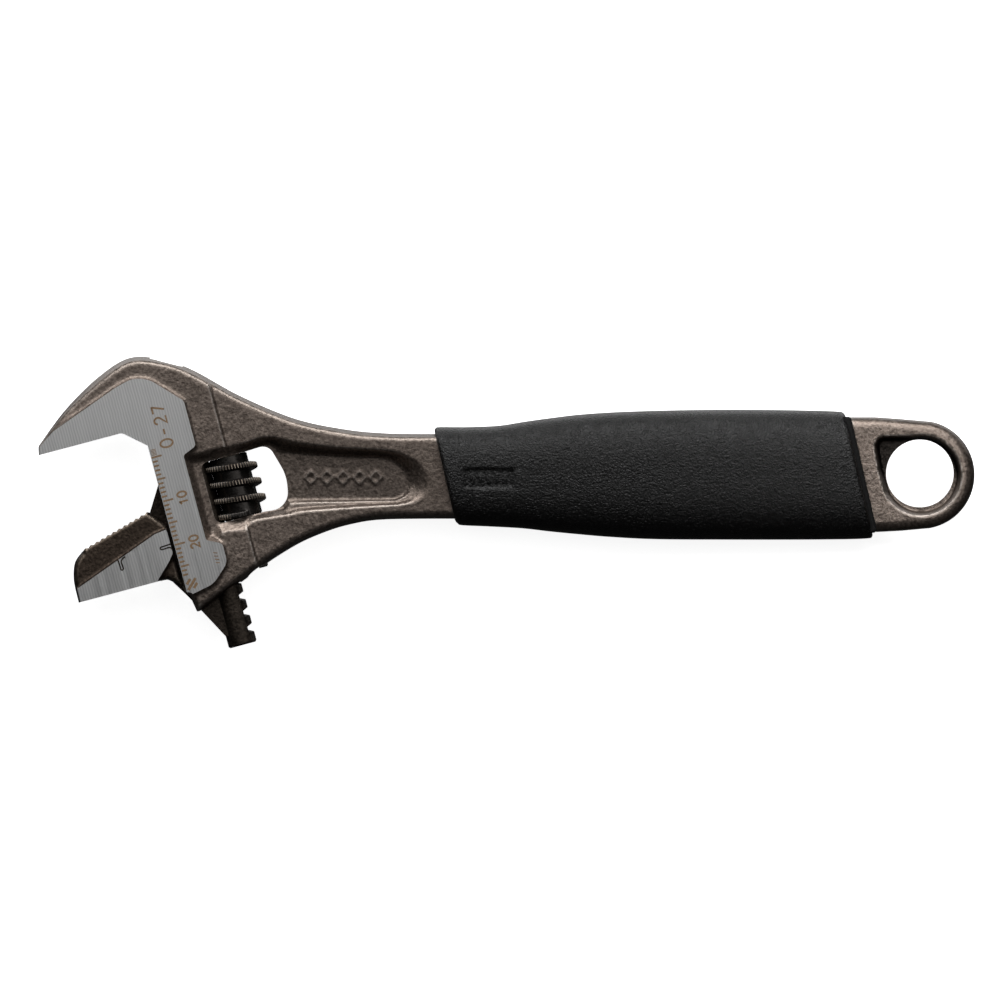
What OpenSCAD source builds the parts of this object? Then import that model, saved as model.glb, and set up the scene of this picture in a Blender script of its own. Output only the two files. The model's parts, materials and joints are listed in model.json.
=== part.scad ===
// Adjustable wrench with a reversible pipe jaw: a forged body, a movable jaw with a
// round rack, a knurled worm on a slotted screw pin, and a two-part moulded grip.
// The origin is the centre of the hanging hole, halfway through the thickness.
// +X points away from the head, +Y towards the fixed jaw, and +Z up out of one flat side.
// The head has its own axes: A runs along the jaw faces towards the handle, and B runs
// the other way to the opening. Their origin is where the fixed jaw's face, carried on,
// meets the edge that the movable jaw slides along.

/* [Layout] */
// Distance from the hanging hole back to the head's own origin
head_reach = 172.5; // [168:0.5:178]
// Height of the head's own origin over the middle of the hanging hole
head_rise = 10.2; // [9:0.1:11]
// Angle between the jaw faces and the handle
head_angle = 15; // [14:0.5:16]

/* [Forging] */
// Thickness over the two ground faces of the head
head_t = 13; // [12:0.5:15]
// Thickness of the forged head around the ground faces
boss_t = 11.6; // [10.5:0.1:11.8]
// Thickness of the neck's two rims
neck_t = 10; // [9:0.5:10.5]
// Thickness of the forging beside the worm, where the rack runs inside
waist_t = 9.6; // [9:0.1:9.8]
// Thickness of the thin web between the neck's rims
neck_web_t = 5; // [4:0.5:7]
// Thickness of the rim round the hanging hole
eye_t = 9; // [8:0.5:10]
// Thickness of the web round the hanging hole
eye_web_t = 3.6; // [3:0.2:6]
// Radius of the hanging hole
hole_r = 7.5; // [6:0.5:7.8]

/* [Jaw] */
// Thickness of the forged jaw with its teeth
jaw_t = 10.6; // [9:0.2:11]
// Thickness over the jaw's ground faces
jaw_face_t = 12.4; // [11.2:0.2:13]
// Depth of each tooth of the serrated face
serration_h = 0.35; // [0.2:0.05:0.5]
// How far the jaw closes from where it is shown
closing = 17.0; // [10:0.5:17]

/* [Rack] */
// Radius of the round rack
rack_r = 3.0; // [2.8:0.1:3.1]
// Length of the round rack
rack_len = 52.8; // [50:0.2:53]
// Thickness of the web that joins the rack to the jaw
web_t = 4.0; // [3:0.2:4.4]

/* [Worm] */
// Distance from one worm turn to the next
pitch = 3.65; // [3.5:0.05:3.8]
// Radius over the worm's ridge
worm_r = 6.0; // [5.6:0.1:6.1]
// Radius of the worm's core
worm_core_r = 4.2; // [3.8:0.1:4.3]
// Length of the worm
worm_len = 13.7; // [13:0.1:13.8]
// Radius of the pin that the worm turns on
pin_r = 1.7; // [1.4:0.1:1.8]
// Radius of the screw end of the pin
screw_r = 2.5; // [2.2:0.1:2.6]

/* [Grip] */
// Thickness of the soft grip at its fullest
grip_t = 18; // [16:1:22]
// Thickness of the stiff grip core
grip_core_t = 9.6; // [9:0.2:10]

/* [Hidden] */

// Running clearance of the rack in its bore and the web in its slot
slide_gap = 0.06;
// Running clearance of the worm on its pin
turn_gap = 0.05;
// Clearance of the screw end in the body
seat_gap = 0.02;
// Amount that a cut runs past the surface that it opens
over = 1;
// Facets round the true cylinders
fine = 64;

// Rack: its axis, and the middle of the jaw's height in the head's axes
rack_a = 8.8;
jaw_mid = -26;
rack_top = jaw_mid + rack_len / 2;
rack_bottom = jaw_mid - rack_len / 2;
groove_depth = 1.65;
groove_root = 0.85;
groove_slope = 17;
first_groove = -49.1;
groove_count = 14;
// Angle at which the grooves cross the rack, to suit the worm's ridge
groove_lead = 6.4;

// Worm: its axis and top end in the head's axes
worm_a = 16.5;
worm_top = -11.2;
ridge_crest = 0.95;
ridge_slope = 15;
ridge_step = 10;
ridge_first = -905;
ridge_last = 235;
ridge_fade = 50;
ridge_least = 0.05;
// Turns of thread past the ridge's two ends, cut off flat at the worm's ends
run_out = 1;

// Spring in the worm's upper end
spring_room_r = 2.65;
spring_room_len = 5.2;
spring_wire_r = 0.3;
spring_r = 2.2;
spring_turns = 4.5;
spring_sides = 8;
spring_step = 24;

// Pin: its two ends in the head's axes
pin_top = -6.8;
pin_end = -36.9;
screw_len = 11.4;
screw_slot_w = 0.8;
screw_slot_depth = 1.2;

// Slant of the grip's two ends, in X for each unit of Y
slant = 0.23;
grip_front = -105.4;
grip_back = -13.6;
core_front = -103.4;
collar_back = -12.4;
tang_t = 7.2;
collar_t = 12;

// ---- Helpers ----

// A point on the slanted grip axes as a point in X and Y
function grip_xy(s, y) = [s - slant * y, y];

// A point given in the head's axes as a point in X and Y
function from_head(p) =
    [-head_reach + p[0] * cos(head_angle) - p[1] * sin(head_angle),
     head_rise + p[0] * sin(head_angle) + p[1] * cos(head_angle)];

function all_from_head(points) = [for (p = points) from_head(p)];

function blend(p0, p1, p2, p3, t) =
    0.5 * (2 * p1 + (p2 - p0) * t + (2 * p0 - 5 * p1 + 4 * p2 - p3) * t * t
           + (3 * p1 - p0 - 3 * p2 + p3) * t * t * t);

// A smooth curve through points, with steps pieces between each two
function curve(points, steps = 4) =
    let (last = len(points) - 1)
    concat([for (i = [0:last - 1], k = [0:steps - 1])
            blend(points[max(i - 1, 0)], points[i], points[i + 1],
                  points[min(i + 2, last)], k / steps)],
           [points[last]]);

// Points round an arc
function arc(centre, r, from, to, steps = 16) =
    [for (k = [0:steps])
     let (angle = from + (to - from) * k / steps)
     centre + r * [cos(angle), sin(angle)]];

function unit(v) = v / norm(v);

// One corner [x, y, radius] of an outline, as an arc that touches both its sides
function corner(before, here, after, steps = 5) =
    let (p = [here[0], here[1]],
         u = unit([before[0], before[1]] - p),
         v = unit([after[0], after[1]] - p),
         half = acos(u * v) / 2,
         centre = p + unit(u + v) * here[2] / sin(half),
         q = p + u * here[2] / tan(half) - centre,
         turn = (u[0] * v[1] - u[1] * v[0] > 0 ? -1 : 1) * (180 - 2 * half),
         start = atan2(q[1], q[0]))
    here[2] == 0 ? [p] : arc(centre, here[2], start, start + turn, steps);

// An outline of corners [x, y, radius]
function rounded(corners) =
    let (n = len(corners))
    [for (i = [0:n - 1])
     for (p = corner(corners[(i + n - 1) % n], corners[i], corners[(i + 1) % n])) p];

// Puts its children on the head's axes
module on_head() {
    translate([-head_reach, head_rise, 0]) rotate([0, 0, head_angle]) children();
}

// A plate of thickness t, centred on the middle plane
module plate(t, points) {
    translate([0, 0, -t / 2]) linear_extrude(t) polygon(points);
}

// A cut down to floor_t from both flat sides
module both_sides(floor_t, points) {
    for (side = [0, 1])
        mirror([0, 0, side])
            translate([0, 0, floor_t / 2]) linear_extrude(head_t) polygon(points);
}

// A rod along B from one B to another, at a given A
module rod(r, a, from, to) {
    translate([a, from, 0]) rotate([-90, 0, 0]) cylinder(r = r, h = to - from, $fn = fine);
}

// A closed skin over rings of points that all have the same count
module skin(rings) {
    n = len(rings[0]);
    last = len(rings) - 1;
    sides = [for (i = [0:last - 1], k = [0:n - 1])
             [i * n + k, i * n + (k + 1) % n, (i + 1) * n + (k + 1) % n, (i + 1) * n + k]];
    ends = [[for (k = [n - 1:-1:0]) k], [for (k = [0:n - 1]) last * n + k]];
    polyhedron([for (ring = rings) for (p = ring) p], concat(sides, ends), convexity = 6);
}

// ---- Outlines of the forging ----

// The rounded inner corner of the fixed jaw, ahead of the guide edge
throat = arc([-5.4, -1.6], 1.6, 50, 90, 4);

// The whole head and neck, up to the front end of the grip
function forging_outline() = concat(
    all_from_head(curve([[-23.5, 1.9], [-15.8, 8.1], [-7, 13.2], [0.9, 15.7], [7.7, 13.7],
                         [14, 9.5], [22.7, 1.2], [33.4, -7], [44.4, -12.5], [53, -15.6]])),
    curve([[-111, 8.8], grip_xy(grip_front, 8.8)], 1),
    curve([grip_xy(grip_front, -10.1), [-115.3, -10.35]], 1),
    all_from_head(curve([[38.9, -33], [27.1, -34.1], [19, -36.7], [9.2, -40.1],
                         [2.4, -42.9]])),
    all_from_head([[0.8, -43.1], [0, -38.7], [0, -4.2]]),
    all_from_head(throat),
    all_from_head([[-23.9, 0]]));

// The forged head, on the jaws' side of the shoulder that crosses it
boss_region = [[-30, 30], [17, 30], [17, -11.5], [17, -24], [17, -60], [-30, -60]];

// The flat ground face
function ground_outline() = all_from_head(concat(rounded([
    [-23.9, 0, 0], [-23.4, 1.6, 0.6], [-19.4, 4.3, 6], [-3.5, 10.1, 12], [0.9, 11.2, 6],
    [4.2, 9.8, 6], [10.3, 3.4, 1.5], [10.3, -7, 1], [7.1, -8.3, 0.6], [7.1, -27.8, 0.2],
    [10.4, -29.4, 1.2], [10.4, -33.8, 3], [6.2, -37.6, 5], [0, -38.7, 0], [0, -4.2, 0]]),
    throat));

// The hollow round the worm window
waist_outline = rounded([[7.1, -8.3, 0], [11, -7.3, 1], [22, -7.9, 3], [30, -9.5, 3],
                         [30, -28.5, 3], [16.5, -29.5, 2], [7.1, -27.8, 0]]);

// The long hollow of the neck
neck_hollow = rounded([[-150, 6.2, 3], [-144, 7.2, 4], [-130, 4.7, 20], [-117, 4.6, 6],
                       [-110.5, -0.8, 4], [-112.5, -6, 3], [-130, -7.1, 20],
                       [-147, -9.6, 3]]);

// The window that the worm turns in
window_outline = rounded([[10.2, -11.05, 1.6], [26.2, -10.6, 2.6], [28.3, -18.5, 10],
                          [27, -25.7, 4], [10.2, -25.1, 1.8]]);

// The slot that the jaw's web slides in, with its slanted upper end
function slot_outline() =
    [[-8, rack_bottom - 20], [rack_a, rack_bottom - 20],
     [rack_a, web_edge(rack_a - rack_r) + closing + 0.4],
     [rack_a - rack_r, web_edge(rack_a - rack_r) + closing + 0.4],
     [0, web_edge(0) + closing + 0.4], [-8, web_edge(-8) + closing + 0.4]];

// The upper edge of the jaw's web at a given A
function web_edge(a) = jaw_mid + 12.8 + (a < 0 ? 1.62 : 1.86) * a;

eye_centre = [0.1, -0.3];

function eye_outline() = concat(
    [grip_xy(collar_back, 12.5)],
    curve([[-10, 12.5], [-4.3, 12.1]], 1),
    arc(eye_centre, 12.05, 78, -80),
    [[-4.3, -12.75], grip_xy(collar_back, -13.1)]);

// The hollow round the hanging hole, with its corner
function eye_hollow() = rounded([
    [-9.5, 8.4, 1], [-3, 8.9, 4], [6.5, 8.7, 5], [9.5, 0, 8], [6.5, -9.5, 6],
    [-6, -9.7, 6], [-9.4, -1, 8]]);

tang_outline = [grip_xy(grip_front - 1, 7.1), grip_xy(-75, 9.4),
                grip_xy(collar_back + 1, 10.6), grip_xy(collar_back + 1, -11.4),
                grip_xy(-75, -10.5), grip_xy(grip_front - 1, -8.4)];

core_outline = [grip_xy(core_front, 8.3), grip_xy(-75, 10.6), grip_xy(grip_back, 11.8),
                grip_xy(grip_back, -12.6), grip_xy(-75, -11.7), grip_xy(core_front, -9.7)];

collar_outline = [grip_xy(grip_back, 12.4), grip_xy(collar_back, 12.5),
                  grip_xy(collar_back, -13.1), grip_xy(grip_back, -13.2)];

// ---- Parts ----

module wrench_body() color([0.42, 0.38, 0.35]) {
    difference() {
        union() {
            difference() {
                union() {
                    plate(neck_t, forging_outline());
                    intersection() {
                        plate(boss_t, forging_outline());
                        plate(head_t, all_from_head(boss_region));
                    }
                }
                both_sides(waist_t, all_from_head(waist_outline));
                both_sides(neck_web_t, neck_hollow);
            }
            plate(head_t, ground_outline());
            plate(tang_t, tang_outline);
            difference() {
                plate(eye_t, eye_outline());
                both_sides(eye_web_t, eye_hollow());
            }
        }
        cylinder(r = hole_r, h = head_t, center = true, $fn = fine);
        on_head() {
            plate(head_t + over, window_outline);
            plate(web_t + 2 * slide_gap, slot_outline());
            rod(rack_r + slide_gap, rack_a, rack_bottom - 20, rack_top + closing + over);
            rod(pin_r + turn_gap, worm_a, window_outline[0][1] - over, pin_top + 0.2);
            rod(screw_r + seat_gap, worm_a, pin_end - 3, worm_top - worm_len - 0.1);
        }
    }
}

// The jaw as it is forged, with a toothed face towards the fixed jaw
function jaw_outline() =
    let (root = [-3.5, jaw_mid + 7.4], tip = [-20.2, jaw_mid + 2.8], teeth = 12,
         along = (tip - root) / teeth, out = serration_h * unit([along[1], -along[0]]))
    concat([[-0.35, jaw_mid + 3.8], root],
           [for (i = [1:teeth], end = [0, 1])
            root + along * (i - 1 + (end == 0 ? 0.25 : 0.85)) + (end == 0 ? 1 : 0) * out],
           curve([tip, [-22.4, jaw_mid + 0.8], [-23.6, jaw_mid - 3], [-23.8, jaw_mid - 7.9]]),
           [[-5.6, jaw_mid - 7.9], [-3.4, jaw_mid - 8.0], [-1.2, jaw_mid - 9.8],
            [-0.35, jaw_mid - 11.2]]);

// The ground face beside the teeth
jaw_face_outline = rounded([
    [-23.8, jaw_mid - 7.9, 0], [-23.8, jaw_mid - 5, 1.5], [-3.6, jaw_mid + 2.4, 6],
    [-0.15, jaw_mid + 2.9, 0.4], [-0.15, jaw_mid - 1.2, 0.6], [-2, jaw_mid - 4.2, 4],
    [-5.8, jaw_mid - 7.9, 2]]);

jaw_web_outline = [[-4, web_edge(-4)], [0, web_edge(0)],
                   [rack_a - rack_r, web_edge(rack_a - rack_r)],
                   [rack_a, web_edge(rack_a - rack_r)],
                   [rack_a, 2 * jaw_mid - web_edge(rack_a - rack_r)],
                   [rack_a - rack_r, 2 * jaw_mid - web_edge(rack_a - rack_r)],
                   [0, 2 * jaw_mid - web_edge(0)], [-4, 2 * jaw_mid - web_edge(-4)]];

// One groove of the rack, in which a turn of the worm runs
module rack_groove() {
    half_root = groove_root / 2;
    half_mouth = half_root + (groove_depth + over) * tan(groove_slope);
    bottom = rack_r - groove_depth;
    rotate([groove_lead, 0, 0])
        plate(2 * rack_r + over, [[bottom, -half_root], [rack_r + over, -half_mouth],
                                  [rack_r + over, half_mouth], [bottom, half_root]]);
}

module movable_jaw() color([0.30, 0.27, 0.25]) {
    on_head() difference() {
        union() {
            plate(jaw_t, jaw_outline());
            plate(jaw_face_t, jaw_face_outline);
            plate(web_t, jaw_web_outline);
            rod(rack_r, rack_a, rack_bottom, rack_top);
        }
        for (i = [0:groove_count - 1])
            translate([rack_a, first_groove + i * pitch, 0]) rack_groove();
    }
}

// Height of the worm's ridge at a given turn angle, fading out at both ends
function ridge_height(angle) =
    (worm_r - worm_core_r) * min(1, (angle - ridge_first) / ridge_fade,
                                 (ridge_last - angle) / ridge_fade);

// The middle of the ridge at a given turn angle, in line with the rack's grooves
function ridge_b(angle) = first_groove + 10 * pitch + pitch * (angle - 180) / 360;

// The ridge's profile at a given turn angle, from foot to foot
function ridge_profile(angle) =
    let (tall = min(worm_r - worm_core_r, max(ridge_height(angle), ridge_least)),
         crest = worm_core_r + tall,
         half_crest = ridge_crest / 2,
         half_foot = half_crest + (worm_r - worm_core_r) * tan(ridge_slope),
         bevel = min(0.2, tall / 3),
         half = [[worm_core_r, half_foot], [crest - bevel, half_crest + bevel * 0.3],
                 [crest, half_crest - bevel]])
    concat([for (p = half) [p[0], -p[1]]], [for (i = [2:-1:0]) half[i]]);

// The thread as one closed skin, where each turn's last foot is joined by the root to
// the first foot of the turn above it
module thread() {
    per_turn = 360 / ridge_step;
    first = ridge_first - 360 * run_out;
    last = (ridge_last - first) / ridge_step + per_turn * run_out;
    n = 6;
    points = [for (i = [0:last])
              let (angle = first + i * ridge_step)
              for (p = ridge_profile(angle))
              [p[0] * cos(angle), p[1] + ridge_b(angle), p[0] * sin(angle)]];
    low_end = len(points);
    high_end = low_end + 1;
    over_ridge = [for (i = [0:last - 1], k = [0:n - 2])
                  [i * n + k, i * n + k + 1, (i + 1) * n + k + 1, (i + 1) * n + k]];
    over_root = [for (i = [0:last - 1 - per_turn])
                 let (j = i + per_turn)
                 [i * n + n - 1, j * n, (j + 1) * n, (i + 1) * n + n - 1]];
    low = concat([for (i = [0:per_turn - 1]) [low_end, i * n, (i + 1) * n]],
                 [for (k = [0:n - 2]) [low_end, k + 1, k]],
                 [[low_end, per_turn * n, n - 1]]);
    high = concat([for (i = [last - per_turn:last - 1])
                   [high_end, (i + 1) * n + n - 1, i * n + n - 1]],
                  [for (k = [0:n - 2]) [high_end, last * n + k, last * n + k + 1]],
                  [[high_end, (last - per_turn) * n + n - 1, last * n]]);
    polyhedron(concat(points, [[0, ridge_b(first) - 3 * pitch, 0],
                               [0, ridge_b(first + last * ridge_step) + 3 * pitch, 0]]),
               concat(over_ridge, over_root, low, high), convexity = 8);
}

module adjusting_worm() color([0.09, 0.08, 0.08]) {
    on_head() difference() {
        intersection() {
            translate([worm_a, 0, 0]) thread();
            translate([worm_a - 2 * worm_r, worm_top - worm_len, -2 * worm_r])
                cube([4 * worm_r, worm_len, 4 * worm_r]);
        }
        rod(pin_r + turn_gap, worm_a, worm_top - worm_len - over, worm_top + over);
        rod(spring_room_r, worm_a, worm_top - spring_room_len, worm_top + over);
    }
}

module worm_pin() color([0.36, 0.34, 0.33]) {
    on_head() difference() {
        union() {
            rod(pin_r, worm_a, pin_end + screw_len - over, pin_top);
            rod(screw_r, worm_a, pin_end, pin_end + screw_len);
        }
        translate([worm_a - screw_slot_w / 2, pin_end - over, -screw_r - over])
            cube([screw_slot_w, screw_slot_depth + over, 2 * (screw_r + over)]);
    }
}

// A ring of points round the spring's wire at a given turn angle
function spring_ring(angle) =
    let (rise = (spring_room_len - 2 * spring_wire_r - 0.2) * angle / (360 * spring_turns),
         low = worm_top - spring_room_len + spring_wire_r + 0.1)
    [for (k = [0:spring_sides - 1])
     let (side = 360 * k / spring_sides,
          r = spring_r + spring_wire_r * cos(side))
     [r * cos(angle), low + rise + spring_wire_r * sin(side), r * sin(angle)]];

module worm_spring() color([0.55, 0.55, 0.56]) {
    on_head() translate([worm_a, 0, 0])
        skin([for (angle = [360 * spring_turns:-spring_step:0]) spring_ring(angle)]);
}

module grip_core() color([0.05, 0.05, 0.05]) {
    difference() {
        union() {
            plate(grip_core_t, core_outline);
            plate(collar_t, collar_outline);
        }
        plate(tang_t, tang_outline);
    }
}

// The soft grip's cross-sections: place along the grip, top, bottom, half thickness
grip_sections = [
    [grip_front, 9.5, -10.4, 6.9], [grip_front + 0.5, 10.1, -11.1, 7.5],
    [grip_front + 1.6, 10.3, -11.5, 7.8], [-98, 10.3, -11.8, 7.9], [-91, 10.6, -12.2, 8.0],
    [-85, 11.5, -12.9, 8.2], [-79, 12.3, -13.5, 8.5], [-72, 13.1, -14.1, 8.8],
    [-62, 13.7, -14.6, 9.0], [-46, 14.15, -14.7, 9.0], [-30, 14.1, -14.75, 9.0],
    [-19, 13.9, -14.65, 8.8], [grip_back - 1, 13.7, -14.5, 8.6],
    [grip_back - 0.3, 13.4, -14.2, 8.3], [grip_back, 12.9, -13.7, 7.8]];

// How square the grip's cross-section is, where 2 is an ellipse
grip_square = 2.7;
grip_points = 32;

// One cross-section of the soft grip
function grip_ring(section) =
    let (middle = (section[1] + section[2]) / 2,
         tall = (section[1] - section[2]) / 2,
         wide = section[3] * grip_t / 18)
    [for (k = [0:grip_points - 1])
     let (angle = 360 * k / grip_points,
          y = middle + tall * sign(cos(angle)) * pow(abs(cos(angle)), 2 / grip_square),
          z = wide * sign(sin(angle)) * pow(abs(sin(angle)), 2 / grip_square),
          p = grip_xy(section[0], y))
     [p[0], p[1], z]];

module grip_sleeve() color([0.07, 0.07, 0.07]) {
    difference() {
        skin([for (i = [len(grip_sections) - 1:-1:0]) grip_ring(grip_sections[i])]);
        plate(grip_core_t, core_outline);
        plate(tang_t, tang_outline);
    }
}

wrench_body();
movable_jaw();
adjusting_worm();
worm_pin();
worm_spring();
grip_core();
grip_sleeve();
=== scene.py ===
"""Looks of the adjustable wrench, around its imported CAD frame. Shapes are in millimetres
until they become meshes, and meshes are in metres in the frame's own axes."""

import json
import math

import bpy
import numpy as np
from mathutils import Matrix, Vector

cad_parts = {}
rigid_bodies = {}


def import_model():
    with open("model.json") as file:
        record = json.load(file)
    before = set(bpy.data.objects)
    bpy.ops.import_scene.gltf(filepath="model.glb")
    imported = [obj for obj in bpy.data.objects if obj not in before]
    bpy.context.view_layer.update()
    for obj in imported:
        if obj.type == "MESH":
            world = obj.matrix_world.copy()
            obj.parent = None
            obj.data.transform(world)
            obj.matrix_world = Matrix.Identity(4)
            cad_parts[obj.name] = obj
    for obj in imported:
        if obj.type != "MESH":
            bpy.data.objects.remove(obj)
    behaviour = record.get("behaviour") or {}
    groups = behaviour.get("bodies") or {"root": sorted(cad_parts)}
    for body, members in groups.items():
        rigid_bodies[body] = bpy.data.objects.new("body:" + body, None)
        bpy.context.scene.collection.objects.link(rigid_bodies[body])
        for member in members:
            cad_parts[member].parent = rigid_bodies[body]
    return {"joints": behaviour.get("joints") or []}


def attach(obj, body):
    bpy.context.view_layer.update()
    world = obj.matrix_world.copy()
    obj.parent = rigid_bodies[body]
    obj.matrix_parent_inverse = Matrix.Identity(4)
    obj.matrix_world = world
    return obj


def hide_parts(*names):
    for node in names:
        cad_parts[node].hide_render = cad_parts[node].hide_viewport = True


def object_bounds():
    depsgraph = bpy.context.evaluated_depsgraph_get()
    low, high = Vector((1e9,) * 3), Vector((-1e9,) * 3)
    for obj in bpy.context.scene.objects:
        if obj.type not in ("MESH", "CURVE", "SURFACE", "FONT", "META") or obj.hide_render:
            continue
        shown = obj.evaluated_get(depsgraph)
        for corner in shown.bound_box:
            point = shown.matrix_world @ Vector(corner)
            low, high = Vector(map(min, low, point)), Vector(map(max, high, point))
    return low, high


for left_over in list(bpy.data.objects):
    bpy.data.objects.remove(left_over)
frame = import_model()
cad_low, cad_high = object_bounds()

MM = 0.001

# ---- The head's own axes: A along the jaw faces, B the other way to the opening ----

WORM_A, WORM_MIDDLE_B = 16.5, -18.0
spin = next(j for j in frame["joints"] if j["name"] == "worm_spin")
OPENING = np.array(spin["axis"][:2])
AXIS_B = -OPENING / np.linalg.norm(OPENING)
AXIS_A = np.array([AXIS_B[1], -AXIS_B[0]])
HEAD = np.array(spin["pos_m"][:2]) / MM - WORM_A * AXIS_A - WORM_MIDDLE_B * AXIS_B


def head(points):
    """Points of the head's axes as points in X and Y."""
    p = np.asarray(points, float)
    return HEAD + p[:, :1] * AXIS_A + p[:, 1:2] * AXIS_B


def on_head(x, y):
    """A and B of places in X and Y."""
    dx, dy = x - HEAD[0], y - HEAD[1]
    return dx * AXIS_A[0] + dy * AXIS_A[1], dx * AXIS_B[0] + dy * AXIS_B[1]


# ---- Outlines, as in the CAD source ----


def curve(points, steps=4):
    """A smooth curve through points."""
    p = np.asarray(points, float)
    last = len(p) - 1
    out = []
    for i in range(last):
        a, b, c, d = p[max(i - 1, 0)], p[i], p[i + 1], p[min(i + 2, last)]
        for t in np.arange(steps) / steps:
            out.append(0.5 * (2 * b + (c - a) * t + (2 * a - 5 * b + 4 * c - d) * t * t
                              + (3 * b - a - 3 * c + d) * t ** 3))
    return np.array(out + [p[last]])


def arc(centre, r, start, end, steps=16):
    """Points round an arc, with angles in degrees."""
    angle = np.radians(np.linspace(start, end, steps + 1))
    return np.array(centre) + r * np.stack([np.cos(angle), np.sin(angle)], 1)


def rounded(corners, steps=6):
    """An outline of corners (x, y, radius), each rounded by an arc."""
    out = []
    n = len(corners)
    for i in range(n):
        p, r = np.array(corners[i][:2], float), corners[i][2]
        if r == 0:
            out.append(p)
            continue
        u = np.array(corners[i - 1][:2]) - p
        v = np.array(corners[(i + 1) % n][:2]) - p
        u, v = u / np.linalg.norm(u), v / np.linalg.norm(v)
        half = math.acos(float(np.clip(u @ v, -1, 1))) / 2
        centre = p + (u + v) / np.linalg.norm(u + v) * r / math.sin(half)
        q = p + u * r / math.tan(half) - centre
        turn = (-1 if u[0] * v[1] - u[1] * v[0] > 0 else 1) * (180 - math.degrees(2 * half))
        start = math.degrees(math.atan2(q[1], q[0]))
        out.extend(arc(centre, r, start, start + turn, steps))
    return np.array(out)


# Sizes in millimetres. SLANT is the lean of the grip's ends, PAST is outside every piece in Z,
# and CLOSING is how far the jaw slides from the photo's opening to closed.
SLANT, PAST = 0.23, 9.0
GRIP_FRONT, GRIP_BACK, COLLAR_BACK, CORE_FRONT = -105.4, -13.6, -12.4, -103.4
HEAD_T, BOSS_T, NECK_T, EYE_T, TANG_T = 13.0, 11.6, 10.0, 9.0, 7.2
JAW_T, JAW_FACE_T, WEB_T = 10.6, 12.4, 4.0
HOLE_R, RACK_R, RACK_A, PIN_R, SCREW_R = 7.5, 3.2, 9.0, 1.7, 2.5
PITCH, WORM_R, WORM_CORE_R, WORM_LEN, WORM_TOP = 3.65, 6.0, 4.295, 13.96, -11.06
JAW_MID, RACK_LEN = -26.0, 52.8
PIN_GAP, SCREW_GAP, SLIDE_GAP, CLOSING = 0.05, 0.02, 0.06, 17.0
SPRING_ROOM, SPRING_ROOM_R = 5.2, 2.65


def grip_xy(s, y):
    """A point on the grip's slanted axes as a point in X and Y."""
    return [s - SLANT * y, y]


# ---- Solids from distance fields, positive inside ----


def inside(points, x, y):
    """How far places lie inside an outline, in the plane."""
    p = np.asarray(points, float)
    best, odd = np.full(x.shape, 1e9), np.zeros(x.shape, bool)
    for (ax, ay), (bx, by) in zip(p, np.roll(p, -1, axis=0)):
        dx, dy = bx - ax, by - ay
        if dx == 0 and dy == 0:
            continue
        t = np.clip(((x - ax) * dx + (y - ay) * dy) / (dx * dx + dy * dy), 0, 1)
        best = np.minimum(best, (x - ax - t * dx) ** 2 + (y - ay - t * dy) ** 2)
        if dy != 0:
            odd ^= ((ay > y) != (by > y)) & (x < ax + dx * (y - ay) / dy)
    return np.where(odd, 1, -1) * np.sqrt(best)


def ease(t):
    """A smooth step from 0 to 1, held outside that range."""
    t = np.clip(t, 0, 1)
    return t * t * (3 - 2 * t)


def meet(s, t, r):
    """What two fields share, with its edge rounded to radius r."""
    return (np.maximum(r, np.minimum(s, t))
            - np.sqrt(np.maximum(r - s, 0) ** 2 + np.maximum(r - t, 0) ** 2))


def merge(s, t, k):
    """Two fields together, with a fillet about k wide where they meet."""
    return np.maximum(s, t) + np.maximum(k - np.abs(s - t), 0) ** 2 / (4 * k)


def between(outer, inner, x, y):
    """How far places lie from one outline towards another inside it, from 0 to 1."""
    o, i = inside(outer, x, y), inside(inner, x, y)
    return np.where(i >= 0, 1.0, np.clip(o / np.maximum(o - i, 1e-6), 0, 1))


def new_mesh(name, vertices, faces):
    """A mesh object from vertices in millimetres."""
    mesh = bpy.data.meshes.new(name)
    mesh.from_pydata((np.asarray(vertices) * MM).tolist(), [], faces)
    mesh.update()
    obj = bpy.data.objects.new(name, mesh)
    bpy.context.scene.collection.objects.link(obj)
    return obj


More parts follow.
